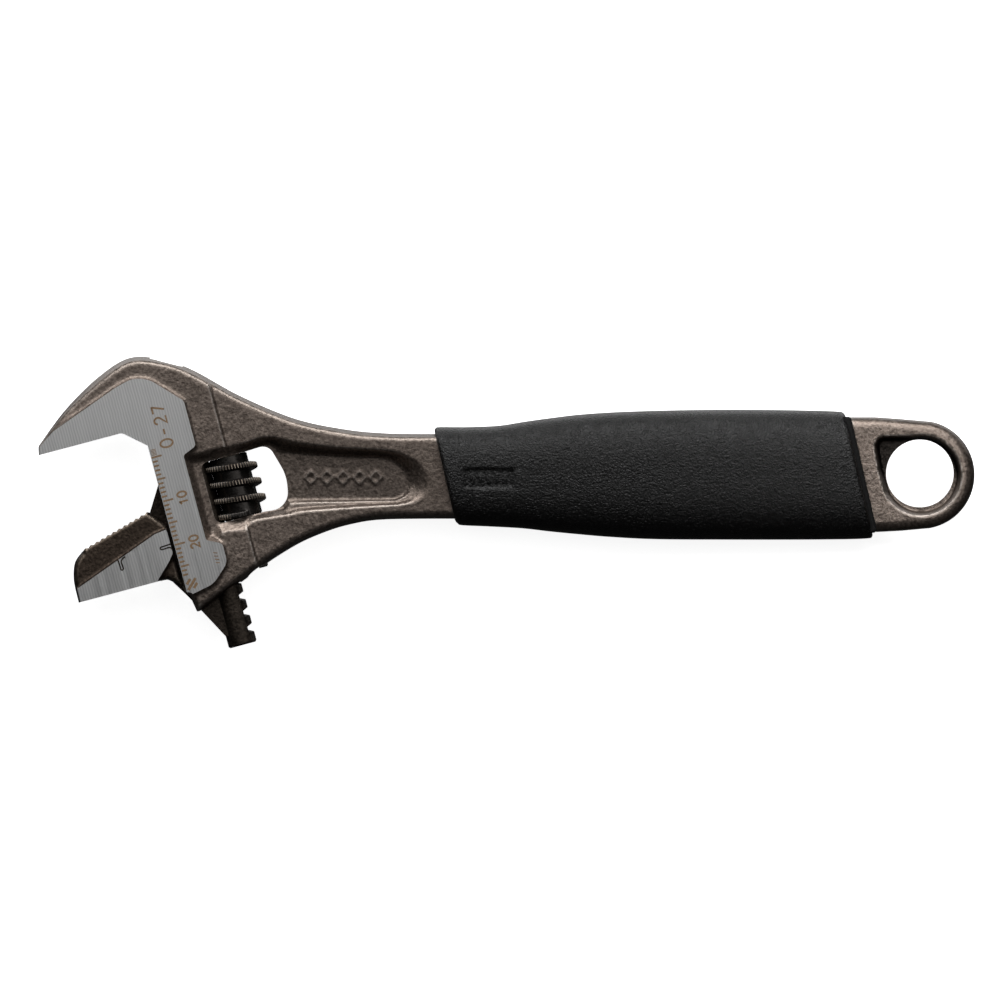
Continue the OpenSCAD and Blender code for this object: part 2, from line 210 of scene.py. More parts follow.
def skin_of(name, field, xs, ys, zs):
    """The closed surface where a field on a grid is zero, as a mesh object."""
    cells = np.array(field.shape) - 1
    solid = field > 0
    axes = (xs, ys, zs)
    points, owners, quads = [], [], []
    for axis in range(3):
        low = [slice(None)] * 3
        high = [slice(None)] * 3
        low[axis], high[axis] = slice(None, -1), slice(1, None)
        starts = solid[tuple(low)]
        at = np.argwhere(starts != solid[tuple(high)])
        step = np.eye(3, dtype=int)[axis]
        f0, f1 = field[tuple(at.T)], field[tuple((at + step).T)]
        t = f0 / (f0 - f1)
        place = np.stack([axes[k][at[:, k]] for k in range(3)], 1).astype(float)
        place[:, axis] += t * (axes[axis][at[:, axis] + 1] - axes[axis][at[:, axis]])
        u, v = (axis + 1) % 3, (axis + 2) % 3
        ring = []
        for du, dv in ((-1, -1), (0, -1), (0, 0), (-1, 0)):
            cell = at.copy()
            cell[:, u] += du
            cell[:, v] += dv
            ring.append((cell[:, 0] * cells[1] + cell[:, 1]) * cells[2] + cell[:, 2])
        ring = np.stack(ring, 1)
        leaving = starts[tuple(at.T)]
        quads.append(np.where(leaving[:, None], ring, ring[:, ::-1]))
        for k in range(4):
            points.append(place)
            owners.append(ring[:, k])
    used, index = np.unique(np.concatenate(owners), return_inverse=True)
    points = np.concatenate(points)
    count = np.bincount(index)
    vertices = np.stack([np.bincount(index, points[:, k]) / count for k in range(3)], 1)
    faces = np.searchsorted(used, np.concatenate(quads))
    mesh = bpy.data.meshes.new(name)
    mesh.vertices.add(len(vertices))
    mesh.vertices.foreach_set("co", (vertices * MM).astype(np.float32).ravel())
    mesh.loops.add(faces.size)
    mesh.loops.foreach_set("vertex_index", faces.astype(np.int32).ravel())
    mesh.polygons.add(len(faces))
    mesh.polygons.foreach_set("loop_start", np.arange(0, faces.size, 4, dtype=np.int32))
    mesh.update(calc_edges=True)
    obj = bpy.data.objects.new(name, mesh)
    bpy.context.scene.collection.objects.link(obj)
    return obj


def tube(rings, n):
    """The faces of a closed tube of rings, with n points round each."""
    last = rings - 1
    faces = [[i * n + k, i * n + (k + 1) % n, (i + 1) * n + (k + 1) % n, (i + 1) * n + k]
             for i in range(last) for k in range(n)]
    return faces + [list(range(n - 1, -1, -1)), list(range(last * n, last * n + n))]


def prism(name, outline, low, high):
    """An upright prism over an outline, between two heights."""
    p = np.asarray(outline, float)
    area = np.sum(p[:, 0] * np.roll(p[:, 1], -1) - np.roll(p[:, 0], -1) * p[:, 1])
    if area < 0:
        p = p[::-1]
    return new_mesh(name, [(x, y, z) for z in (low, high) for x, y in p], tube(2, len(p)))


def points_of(mesh):
    """The mesh's points, in millimetres."""
    co = np.empty(len(mesh.vertices) * 3, np.float32)
    mesh.vertices.foreach_get("co", co)
    return co.reshape(-1, 3).astype(float) / MM


def out_of_head(obj):
    """Moves a mesh made in the head's axes to its place in X and Y."""
    co = points_of(obj.data)
    co[:, :2] = head(co[:, :2])
    obj.data.vertices.foreach_set("co", (co * MM).astype(np.float32).ravel())
    obj.data.update()
    return obj


def lathe(name, a, profile, sides=96):
    """A closed shape turned round the line at a given A, from (B, radius) pairs."""
    angle = np.radians(np.arange(sides) * 360 / sides)
    rings = [np.column_stack([a + r * np.cos(angle), np.full(sides, b), r * np.sin(angle)])
             for b, r in profile]
    faces = [face[::-1] for face in tube(len(profile), sides)]
    return out_of_head(new_mesh(name, np.concatenate(rings), faces))


def rod(name, r, a, start, end):
    """A rod at a given A, from one B to another."""
    return lathe(name, a, [(start, r), (end, r)])


def carve(obj, operation, *tools):
    """Cuts, joins or intersects a mesh with others, which are used up."""
    for tool in tools:
        modifier = obj.modifiers.new("carve", "BOOLEAN")
        modifier.operation, modifier.solver, modifier.object = operation, "MANIFOLD", tool
    graph = bpy.context.evaluated_depsgraph_get()
    made = bpy.data.meshes.new_from_object(obj.evaluated_get(graph))
    obj.modifiers.clear()
    obj.data = made
    for tool in tools:
        bpy.data.objects.remove(tool)
    return obj


def finish_surface(obj, sharp=32):
    """Smooth shading, apart from edges sharper than an angle."""
    obj.data.shade_smooth()
    obj.data.set_sharp_from_angle(angle=math.radians(sharp))
    return obj


# ---- The forged body ----

# The outlines of the forging, its ground face, the hollow of the neck at its rim and at its floor,
# the worm's window, the eye, the hollow round its hole, and the tang.
THROAT = arc([-5.4, -1.6], 1.6, 50, 90, 6)
blank = np.concatenate([
    head(curve([[-23.5, 1.9], [-15.8, 8.1], [-7, 13.2], [0.9, 15.69], [7.7, 13.7], [14, 9.5],
                [22.7, 1.2], [33.4, -7], [44.4, -12.5], [53, -15.6]], 10)),
    curve([[-111, 8.8], [-98, 8.8]], 1),
    curve([[-98, -10.1], [-111, -10.1], [-120.5, -10.35], [-126.7, -11.4], [-131.8, -12.95],
           [-137.5, -15.4], [-143.1, -18.75], [-147.1, -21.6], [-153.2, -26.1],
           [-159.1, -30.6]], 6),
    head([[0.8, -43.1], [0.1, -39], [-3, -38.8], [-3, -3], [-23.95, -3], [-23.9, 0]])])
ground = head(np.concatenate([rounded([
    [-26, -3, 0], [-25, 0.9, 0], [-23.3, 1.75, 0.6], [-19.4, 4.3, 6], [-3.5, 10.1, 12],
    [0.9, 11.2, 6], [4.2, 9.8, 6], [10.3, 3.4, 1.5], [10.3, -7, 1], [7.1, -8.3, 0.6],
    [7.1, -27.8, 0.2], [10.4, -29.4, 1.2], [10.4, -33.8, 3], [6.2, -37.6, 5],
    [0, -38.8, 0]]), [[-3, -38.9], [-3, -3]]]))
hollow_rim = np.concatenate([
    head([[5, -8.3], [7.1, -8.3], [10.94, -8.63]]),
    curve([[-154.6, 5.9], [-150.5, 6.6], [-147.1, 7.75], [-143.7, 8.1], [-140.3, 7.44],
           [-136.9, 6.71], [-132.7, 6.16], [-128.4, 5.74], [-124.2, 5.44], [-120, 5.31],
           [-115.7, 4.68], [-112.3, 3.19], [-110.2, 1.28], [-109.1, -1.27], [-109.3, -4.24],
           [-111.5, -6.15], [-115.7, -7.0], [-124.2, -7.55], [-132.7, -8.27], [-136.9, -8.7],
           [-141.2, -9.45], [-144.6, -9.97], [-147.1, -10.4], [-148.4, -11.0]], 3),
    head([[16.9, -27.6], [16.4, -28.05], [12.2, -27.2], [11.2, -27.35], [10.7, -27.9],
          [10.4, -29.3], [8, -30.5], [5, -30.5]])])
hollow_floor = np.concatenate([
    head([[6, -10.3], [12, -10.9], [26, -10.7], [27.3, -12.0]]),
    curve([[-143.3, 5.0], [-138.6, 4.46], [-132.7, 4.04], [-124.2, 3.7], [-119.6, 3.48],
           [-116.6, 2.55], [-114.6, 0.43], [-113.8, -2.0], [-114.4, -4.1], [-116.1, -5.4],
           [-118.5, -5.64], [-128.5, -5.6], [-136.9, -5.52], [-140.4, -5.52]], 4),
    head([[25.5, -25.2], [12, -25.2], [10.6, -24.8], [7.2, -28.0], [6, -28.0]])])
window = head(rounded([[10.2, -11.055, 1.6], [20.9, -11.055, 3], [25.9, -10.85, 2.6],
                       [28.05, -18.5, 10], [26.8, -25.6, 4], [21.2, -25.025, 3],
                       [10.2, -25.025, 1.8]], 10))
eye = np.concatenate([[[-17, 12.5], [-10, 12.5], [-4.3, 12.1]],
                      arc([0.1, -0.3], 12.05, 78, -80, 40), [[-4.3, -12.75], [-11, -13.1],
                                                            [-17, -13.1]]])
eye_hollow = np.concatenate([rounded([[-9.3, 0.4, 0], [-10.6, 8.3, 2.4], [-2, 8.5, 0]], 8),
                             arc([0.25, -0.45], 9.05, 95, -155, 60)])
tang = [grip_xy(GRIP_FRONT - 1, 7.1), grip_xy(-75, 9.4), grip_xy(COLLAR_BACK + 1, 10.6),
        grip_xy(COLLAR_BACK + 1, -11.4), grip_xy(-75, -10.5), grip_xy(GRIP_FRONT - 1, -8.4)]


def motif(x, y):
    """Five raised lozenge frames on the neck's web, from 0 to 1."""
    up = np.zeros(x.shape)
    for k in range(5):
        cx, cy = -135.2 + 3.6 * k, -0.9
        reach = 1.75 - (np.abs(x - cx) + np.abs(y - cy) * 0.92)
        up = np.maximum(up, ease(1.45 - np.abs(reach - 0.42) / 0.42))
    return up


def plateau(outline, x, y, z, thick, lean):
    """A face raised over an outline, which stands proud of a thickness and is cut to it later."""
    return np.minimum(inside(outline, x, y)[:, :, None] - lean * (z - thick / 2),
                      thick / 2 + 0.7 - z)


def forged_top(x, y):
    """Half the forging's thickness: the boss, the neck's rims, and the hollow between them."""
    boss_end, boss_step, web, web_rise, motif_rise = 17.15, 0.7, 2.5, 1.8, 0.26
    a, _ = on_head(x, y)
    rim = NECK_T / 2 + (BOSS_T - NECK_T) / 2 * ease((boss_end - a) / boss_step)
    floor = web + web_rise * ease((27 - a) / 16)
    w = between(hollow_rim, hollow_floor, x, y)
    slope = 0.6 * w + 0.4 * ease(w)
    stepped = 0.55 * ease(w / 0.42) + 0.45 * ease((w - 0.6) / 0.4)
    ledge = ease((-2.5 - y) / 1.5) * ease((x + 142) / 4) * ease((-111 - x) / 4)
    hollow = (rim - floor) * (slope + ledge * (stepped - slope))
    return rim - hollow + motif_rise * motif(x, y)


def forging(x, y, z):
    """The head and the neck, with drafted sides, rounded edges and the raised ground face."""
    edge_r, fillet, into_grip = 0.95, 0.6, 0.3
    draft = (0.03 + 0.14 * ease((x + 196) / 14))[:, :, None]
    side = inside(blank, x, y)[:, :, None] - draft * z
    forged = meet(side, forged_top(x, y)[:, :, None] - z, edge_r)
    raised = np.minimum(plateau(ground, x, y, z, HEAD_T, 0.7), side)
    forged = np.minimum(merge(forged, raised, fillet), side)
    return np.minimum(forged, into_grip - (x + SLANT * y - GRIP_FRONT)[:, :, None])


def eye_ring(x, y, z):
    """The eye at the handle's end, with the hollow round its hole."""
    edge_r, depth, wall, draft, into_grip = 1.9, 3.0, 1.15, 0.1, 0.5
    top = EYE_T / 2 - depth * ease(inside(eye_hollow, x, y) / wall)
    ring = meet(inside(eye, x, y)[:, :, None] - draft * z, top[:, :, None] - z, edge_r)
    return np.minimum(ring, (x + SLANT * y - COLLAR_BACK + into_grip)[:, :, None])


def body_field(xs, ys, zs):
    """The body's field on a grid, before its holes are cut."""
    x, y = np.meshgrid(xs, ys, indexing="ij")
    z = np.abs(zs)[None, None, :]
    core = np.minimum(inside(tang, x, y)[:, :, None], TANG_T / 2 - z)
    return np.maximum(np.maximum(forging(x, y, z), eye_ring(x, y, z)), core)


# The grid is fine over the head and neck and over the eye, and coarse over the plain tang.
fine = 0.315
xs = np.concatenate([np.arange(-197, -101, fine), np.arange(-101, -18, 2.0),
                     np.arange(-18, 13.2, fine)])
ys = np.arange(-32.6, 27, fine)
zs = np.arange(-7.6, 7.61, fine)
body = skin_of("forged_body", body_field(xs, ys, zs), xs, ys, zs)


def web_edge(a):
    """The upper edge of the movable jaw's web at a given A."""
    return JAW_MID + 12.8 + (1.62 if a < 0 else 1.86) * a


inner = RACK_A - RACK_R
slot_top, below_head = CLOSING + 0.4, -73
slot = ([[-8, below_head], [RACK_A, below_head]]
        + [[a, web_edge(min(a, inner)) + slot_top] for a in (RACK_A, inner, 0, -8)])
carve(body, "INTERSECT", prism("flats", [[-210, -60], [40, -60], [40, 60], [-210, 60]],
                               -HEAD_T / 2, HEAD_T / 2))
jaw_gap = np.concatenate([[[-40, 0]], THROAT[::-1], [[0, -4.2], [0, -39.1], [-40, -39.1]]])
carve(body, "DIFFERENCE",
      prism("jaw_gap", head(jaw_gap), -PAST, PAST),
      prism("window", window, -PAST, PAST),
      prism("slot", head(slot), -WEB_T / 2 - SLIDE_GAP, WEB_T / 2 + SLIDE_GAP),
      rod("rack_bore", RACK_R + SLIDE_GAP, RACK_A, below_head,
          JAW_MID + RACK_LEN / 2 + CLOSING + 1),
      rod("pin_bore", PIN_R + PIN_GAP, WORM_A, -12, -6.6),
      rod("screw_bore", SCREW_R + SCREW_GAP, WORM_A, -40, -25.1),
      prism("hang_hole", arc([0, 0], HOLE_R, 0, 360, 127)[:-1], -PAST, PAST))
finish_surface(body, 38)

# ---- The movable jaw ----

TOOTH_ROOT, TOOTH_TIP = np.array([-3.5, JAW_MID + 7.4]), np.array([-20.2, JAW_MID + 2.8])
TEETH, SERRATION = 12, 0.35
along = TOOTH_TIP - TOOTH_ROOT
outward = np.array([along[1], -along[0]]) / np.linalg.norm(along)
FLAT_B = JAW_MID - 7.9
jaw_blank = np.concatenate([
    [[-0.35, JAW_MID + 3.8], TOOTH_ROOT, TOOTH_ROOT + 0.8 * outward,
     TOOTH_TIP + 0.8 * outward + [0.25, 0]],
    curve([TOOTH_TIP, [-22.4, JAW_MID + 0.8], [-23.6, JAW_MID - 3], [-23.8, FLAT_B],
           [-23.9, FLAT_B - 2]], 8),
    [[-5.0, FLAT_B - 2], [-5.0, FLAT_B - 0.05], [-3.4, JAW_MID - 8.05], [-1.2, JAW_MID - 9.8],
     [-0.35, JAW_MID - 11.2]]])
jaw_ground = rounded([
    [-24.6, FLAT_B - 2, 0], [-24.3, JAW_MID - 5.2, 0.8], [-3.6, JAW_MID + 2.4, 6],
    [0.4, JAW_MID + 2.95, 0.4], [0.4, JAW_MID - 1.2, 0.6], [-2, JAW_MID - 4.2, 4],
    [-5.8, FLAT_B, 1], [-6.2, FLAT_B - 2, 0]])


def jaw_field(aa, bb, zs):
    """The jaw's field on a grid of the head's axes, before its teeth and grooves are cut."""
    edge_r, fillet, draft, head_gap = 0.9, 0.5, 0.07, 0.3
    a, b = np.meshgrid(aa, bb, indexing="ij")
    z = np.abs(zs)[None, None, :]
    side = inside(jaw_blank, a, b)[:, :, None] - draft * z
    forged = meet(side, JAW_T / 2 - z + 0 * side, edge_r)
    raised = np.minimum(plateau(jaw_ground, a, b, z, JAW_FACE_T, 0.35), side)
    whole = np.minimum(merge(forged, raised, fillet), side)
    return np.minimum(whole, (-head_gap - a)[:, :, None])


def band(points, width):
    """The outline of a line of a given width through points."""
    p = np.asarray(points, float)
    along_line = np.gradient(p, axis=0)
    along_line /= np.linalg.norm(along_line, axis=1)[:, None]
    side = np.stack([-along_line[:, 1], along_line[:, 0]], 1) * width / 2
    return np.concatenate([p + side, (p - side)[::-1]])


SIDE_GROOVE = curve(np.concatenate([
    [[-13.2, -26.3], [-12.95, -27.0], [-12.85, -28.6]], arc([-12.56, -29.1], 0.29, 180, 360, 6),
    [[-12.27, -28.6], [-12.35, -27.6], [-11.9, -27.0], [-11.2, -26.7]]]), 3)
END_GROOVE = curve(np.concatenate([
    [[0.6, -26.45], [-0.6, -26.6], [-2.4, -26.7]], arc([-2.9, -27.0], 0.29, 90, 270, 6),
    [[-2.4, -27.3], [-1.3, -27.25], [-0.75, -27.6], [-0.45, -28.6]]]), 3)
LINE_WIDTH, LINE_FLOOR = 0.33, 5.6
jaw_fine = 0.25
xs = np.arange(-25.5, 1.3, jaw_fine)
ys = np.arange(-39.5, -16.2, jaw_fine)
zs = np.arange(-7.3, 7.31, jaw_fine)
jaw = out_of_head(skin_of("movable_jaw_forging", jaw_field(xs, ys, zs), xs, ys, zs))
zigzag = [TOOTH_TIP + 4 * outward, TOOTH_TIP]
for tooth in range(TEETH - 1, -1, -1):
    zigzag += [TOOTH_ROOT + along / TEETH * (tooth + 0.85),
               TOOTH_ROOT + along / TEETH * (tooth + 0.3) + SERRATION * outward]
zigzag += [TOOTH_ROOT, TOOTH_ROOT + 4 * outward]
carve(jaw, "DIFFERENCE",
      prism("jaw_back", head([[-30, FLAT_B], [-4.95, FLAT_B], [-4.95, FLAT_B - 6],
                              [-30, FLAT_B - 6]]), -PAST, PAST),
      prism("teeth", head(zigzag), -PAST, PAST),
      prism("side_groove", head(band(SIDE_GROOVE, LINE_WIDTH)), LINE_FLOOR, PAST),
      prism("end_groove", head(band(END_GROOVE, LINE_WIDTH)), LINE_FLOOR, PAST))
carve(jaw, "INTERSECT", prism("jaw_flats", head([[-40, -60], [40, -60], [40, 60], [-40, 60]]),
                              -JAW_FACE_T / 2, JAW_FACE_T / 2))
rack_low, rack_high = JAW_MID - RACK_LEN / 2, JAW_MID + RACK_LEN / 2
upper_edge = [[a, web_edge(min(a, inner))] for a in (-4, 0, inner, RACK_A)]
lower_edge = [[a, 2 * JAW_MID - b] for a, b in upper_edge[::-1]]
bevel = 0.35
rack = lathe("rack", RACK_A, [(rack_low, RACK_R - bevel), (rack_low + bevel, RACK_R),
                              (rack_high - bevel, RACK_R), (rack_high, RACK_R - bevel)])
carve(rack, "UNION", prism("web", head(upper_edge + lower_edge), -WEB_T / 2, WEB_T / 2))
FIRST_GROOVE, GROOVES, GROOVE_DEPTH, GROOVE_ROOT = -49.1, 14, 1.75, 1.24
LEAD, FLANK, WORM_GAP, STATIONS = math.radians(6.4), math.radians(12), 0.05, 21


def groove(middle):
    """A cutter for one groove of the rack, with its root round the worm, about a given B."""
    half_root, out = GROOVE_ROOT / 2, RACK_R + 1
    half_mouth = half_root + (GROOVE_DEPTH + 1) * math.tan(FLANK)
    vertices = []
    for z in np.linspace(-4.2, 4.2, STATIONS):
        root = WORM_A - math.sqrt((WORM_R + WORM_GAP) ** 2 - z * z) - RACK_A
        for p, q in ((root, -half_root), (out, -half_mouth), (out, half_mouth), (root, half_root)):
            vertices.append((RACK_A + p, middle + q * math.cos(LEAD) - z * math.sin(LEAD),
                             q * math.sin(LEAD) + z * math.cos(LEAD)))
    return out_of_head(new_mesh("groove", vertices, tube(STATIONS, 4)))


carve(rack, "DIFFERENCE", *[groove(FIRST_GROOVE + i * PITCH) for i in range(GROOVES)])
carve(jaw, "UNION", rack)
finish_surface(jaw, 30)

# ---- The worm, its pin and its spring ----

RIDGE_FIRST, RIDGE_LAST, RIDGE_FADE = -1010, 235, 50
KNURLS, KNURL_STEPS, KNURL_DEPTH = 54, 5, 0.3
RIDGE_TALL = 1.8


def worm_thread():
    """The worm's knurled ridge wound round its core, longer than the worm, as one closed shape."""
    per_turn = KNURLS * KNURL_STEPS
    step = 360 / per_turn
    first = RIDGE_FIRST - 360
    count = int((RIDGE_LAST + 360 - first) / step) + 1
    angle = first + step * np.arange(count)
    share = np.clip(np.minimum(angle - RIDGE_FIRST, RIDGE_LAST - angle) / RIDGE_FADE, 0.02, 1)
    half = [(0.95, 0), (0.84, 0.5), (0.76, 1.0), (0.68, 1.4), (0.6, 1.66),
            (0.46, RIDGE_TALL)]
    offset = np.array([-o for o, h in half] + [0] + [o for o, h in half[::-1]])
    height = np.array([h for o, h in half] + [RIDGE_TALL] + [h for o, h in half[::-1]])
    bite = np.clip((height - 0.95) / 0.4, 0, 1)
    knurl = KNURL_DEPTH * (0.5 - 0.5 * np.cos(np.radians(angle * KNURLS))) ** 0.8
    rise = (WORM_R - WORM_CORE_R) / RIDGE_TALL
    r = WORM_CORE_R + share[:, None] * (height * rise - knurl[:, None] * bite)
    b = FIRST_GROOVE + 10 * PITCH + PITCH * (angle - 180) / 360
    t = np.radians(angle)
    points = np.stack([WORM_A + r * np.cos(t)[:, None], b[:, None] + offset + 0 * r,
                       r * np.sin(t)[:, None]], 2).reshape(-1, 3)
    n, last = len(offset), count - 1
    faces = [[i * n + k, i * n + k + 1, (i + 1) * n + k + 1, (i + 1) * n + k]
             for i in range(last) for k in range(n - 1)]
    faces += [[i * n + n - 1, (i + per_turn) * n, (i + per_turn + 1) * n, (i + 1) * n + n - 1]
              for i in range(last - per_turn)]
    low, high = len(points), len(points) + 1
    faces += [[low, i * n, (i + 1) * n] for i in range(per_turn)]
    faces += [[low, k + 1, k] for k in range(n - 1)] + [[low, per_turn * n, n - 1]]
    faces += [[high, (i + 1) * n + n - 1, i * n + n - 1] for i in range(last - per_turn, last)]
    faces += [[high, last * n + k, last * n + k + 1] for k in range(n - 1)]
    faces += [[high, (last - per_turn) * n + n - 1, last * n]]
    tips = [[WORM_A, b[0] - 3 * PITCH, 0], [WORM_A, b[-1] + 3 * PITCH, 0]]
    obj = out_of_head(new_mesh("worm", np.concatenate([points, tips]), faces))
    obj.data.flip_normals()
    return obj


worm = worm_thread()
worm_low = WORM_TOP - WORM_LEN
worm_end = [(0, 4.0), (0.2, 4.23), (0.22, 7)]
carve(worm, "INTERSECT", lathe("worm_trim", WORM_A,
                               [(worm_low + inset, r) for inset, r in worm_end]
                               + [(WORM_TOP - inset, r) for inset, r in worm_end[::-1]]))
carve(worm, "DIFFERENCE", rod("worm_bore", PIN_R + PIN_GAP, WORM_A, worm_low - 1, WORM_TOP + 1),
      rod("spring_room", SPRING_ROOM_R, WORM_A, WORM_TOP - SPRING_ROOM, WORM_TOP + 1))
finish_surface(worm, 40)

PIN_TOP, PIN_END, SCREW_LEN, PIN_BEVEL = -6.8, -36.9, 11.4, 0.3
PIN_SLOT, PIN_SLOT_DEPTH = 0.8, 1.2
screw_top = PIN_END + SCREW_LEN
pin = lathe("worm_pin_screw", WORM_A, [
    (PIN_END, SCREW_R - PIN_BEVEL), (PIN_END + PIN_BEVEL, SCREW_R),
    (screw_top - PIN_BEVEL, SCREW_R), (screw_top, PIN_R + 0.2), (screw_top, PIN_R),
    (PIN_TOP - PIN_BEVEL, PIN_R), (PIN_TOP, PIN_R - PIN_BEVEL)])
slot_low, slot_high = WORM_A - PIN_SLOT / 2, WORM_A + PIN_SLOT / 2
slot_floor = PIN_END + PIN_SLOT_DEPTH
carve(pin, "DIFFERENCE", prism("pin_slot", head([
    [slot_low, PIN_END - 1], [slot_high, PIN_END - 1], [slot_high, slot_floor],
    [slot_low, slot_floor]]), -4, 4))
finish_surface(pin, 30)


def coil():
    """The spring in the worm's upper end, as a closed tube."""
    turns, r, wire, gap, sides, steps = 4.5, 2.2, 0.3, 0.1, 12, 36
    t = np.linspace(0, 2 * np.pi * turns, int(steps * turns) + 1)
    low = WORM_TOP - SPRING_ROOM + wire + gap
    b = low + (SPRING_ROOM - 2 * wire - 2 * gap) * t / t[-1]
    vertices = []
    for ti, bi in zip(t, b):
        for k in range(sides):
            s = 2 * np.pi * k / sides
            rr = r + wire * math.cos(s)
            vertices.append((WORM_A + rr * math.cos(ti), bi + wire * math.sin(s),
                             rr * math.sin(ti)))
    return out_of_head(new_mesh("worm_spring_coil", vertices, tube(len(t), sides)))


spring = finish_surface(coil(), 60)

# ---- The grip ----

# Each section is its place along the grip, its upper and lower edge in Y, and half its thickness.
# GRIP_SQUARE is how square the sections are, from 2 for an ellipse.
GRIP_SQUARE = 2.7
grip_sections = np.array([
    [GRIP_FRONT - 0.2, 9.2, -10.2, 6.8], [GRIP_FRONT - 0.1, 9.65, -10.65, 7.2],
    [GRIP_FRONT + 0.2, 10.0, -11.05, 7.5], [GRIP_FRONT + 1.1, 10.3, -11.5, 7.8],
    [-98, 10.3, -11.8, 7.9], [-91, 10.6, -12.2, 8.0], [-85, 11.5, -12.9, 8.2],
    [-79, 12.3, -13.5, 8.5], [-72, 13.1, -14.1, 8.8], [-62, 13.7, -14.6, 8.97],
    [-46, 14.1, -14.7, 8.97], [-30, 14.1, -14.7, 8.97], [-19, 13.9, -14.6, 8.8],
    [GRIP_BACK - 1, 13.7, -14.4, 8.6], [GRIP_BACK - 0.3, 13.4, -14.1, 8.3],
    [GRIP_BACK - 0.08, 13.1, -13.8, 8.0], [GRIP_BACK, 12.8, -13.5, 7.75]])
PANEL = (-101.4, -90.0, -3.5, 1.3)


def panel_depth(x, y):
    """How deep the grip's pressed panel is at a place, with plain ribs left standing in it."""
    x0, x1, y0, y1 = PANEL
    gap = np.minimum(np.minimum(x - x0, x1 - x), np.minimum(y - y0, y1 - y))
    depth = 0.5 * ease(gap / 0.45)
    for k in range(5):
        cx, cy = x0 + 2.1 + 1.8 * k, (y0 + y1) / 2
        rib = 1 - np.maximum(np.abs(x - cx) / 0.5, np.abs(y - cy) / 1.5)
        depth = depth - 0.48 * ease(rib / 0.6)
    for line_y, end_x in ((y0, -77.0), (y1 - 0.6, -82.5)):
        line = np.minimum(np.minimum(x - x1, end_x - x) / 0.5, 1 - np.abs(y - line_y) / 0.3)
        depth = depth + 0.09 * ease(line)
    return depth


def sleeve():
    """The grip's outer surface, with the panel pressed into both flat sides."""
    s_step, around = ((0.42, 192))
    smooth = curve(grip_sections, 10)
    length = np.concatenate([[0], np.cumsum(np.abs(np.diff(smooth[:, 0]))
                                            + np.abs(np.diff(smooth[:, 1])))])
    t = np.linspace(0, length[-1], int(length[-1] / s_step))
    s, top, bottom, wide = [np.interp(t, length, smooth[:, k]) for k in range(4)]
    angle = 2 * np.pi * np.arange(around) / around
    power = 2 / GRIP_SQUARE
    c = np.sign(np.cos(angle)) * np.abs(np.cos(angle)) ** power
    d = np.sign(np.sin(angle)) * np.abs(np.sin(angle)) ** power
    y = ((top + bottom) / 2)[:, None] + ((top - bottom) / 2)[:, None] * c
    z = wide[:, None] * d
    x = s[:, None] - SLANT * y
    z = z - np.sign(z) * panel_depth(x, y) * ease((np.abs(d) - 0.5) / 0.3)
    vertices = np.stack([x, y, z], 2).reshape(-1, 3)
    return new_mesh("grip_sleeve_skin", vertices, tube(len(s), around))


CORE_T, COLLAR_T = 9.6, 10.8
core_upper = [grip_xy(CORE_FRONT, 8.3), grip_xy(-75, 10.6), grip_xy(GRIP_BACK, 11.8)]
core_lower = [grip_xy(GRIP_BACK, -12.6), grip_xy(-75, -11.7), grip_xy(CORE_FRONT, -9.7)]
past_back = [grip_xy(GRIP_BACK + 3, 11.8), grip_xy(GRIP_BACK + 3, -12.6)]
further = np.array([3, 0])
tang_front = [tang[0] - further, tang[5] - further]
grip = sleeve()
carve(grip, "DIFFERENCE",
      prism("core_room", core_upper + past_back + core_lower, -CORE_T / 2, CORE_T / 2),
      prism("tang_room", [tang_front[0], tang[1], tang[4], tang_front[1]],
            -TANG_T / 2, TANG_T / 2))
finish_surface(grip, 45)


def soft_prism(name, outline, half_t, r, steps=4):
    """A prism over a convex outline, with its upper and lower edges rounded."""
    p = np.asarray(outline, float)
    before, after = p - np.roll(p, 1, axis=0), np.roll(p, -1, axis=0) - p
    before /= np.linalg.norm(before, axis=1)[:, None]
    after /= np.linalg.norm(after, axis=1)[:, None]
    turn = before[:, 0] * after[:, 1] - before[:, 1] * after[:, 0]
    inward = np.stack([-(before + after)[:, 1], (before + after)[:, 0]], 1)
    inward /= np.sum(inward * np.stack([-after[:, 1], after[:, 0]], 1), 1)[:, None]
    inward *= np.sign(turn.sum())
    q = np.radians(np.linspace(0, 90, steps + 1))
    upper = [(r * (1 - math.cos(t)), half_t - r + r * math.sin(t)) for t in q]
    rings = [(inset, -z) for inset, z in upper[::-1]] + upper
    n = len(p)
    vertices = np.concatenate([np.column_stack([p + inset * inward, np.full(n, z)])
                               for inset, z in rings])
    obj = new_mesh(name, vertices, tube(len(rings), n))
    if turn.sum() < 0:
        obj.data.flip_normals()
    return obj


collar = soft_prism("grip_core_collar", rounded([
    [*grip_xy(GRIP_BACK - 0.6, 12.6), 0], [*grip_xy(COLLAR_BACK, 12.6), 0.8],
    [*grip_xy(COLLAR_BACK, -13.2), 0.8], [*grip_xy(GRIP_BACK - 0.6, -13.2), 0]]),
    COLLAR_T / 2, 0.6)
carve(collar, "UNION", prism("core", core_upper + core_lower, -CORE_T / 2, CORE_T / 2))
carve(collar, "DIFFERENCE", prism("tang_slot", [
    tang_front[0], tang[1], tang[2] + further, tang[3] + further, tang[4], tang_front[1]],
    -TANG_T / 2, TANG_T / 2))
finish_surface(collar, 30)

# ---- Scale marks on the ground face ----

MARK_TOP, MARK_FOOT = HEAD_T / 2 + 0.015, HEAD_T / 2 - 0.05
mark_vertices, mark_faces = [], []


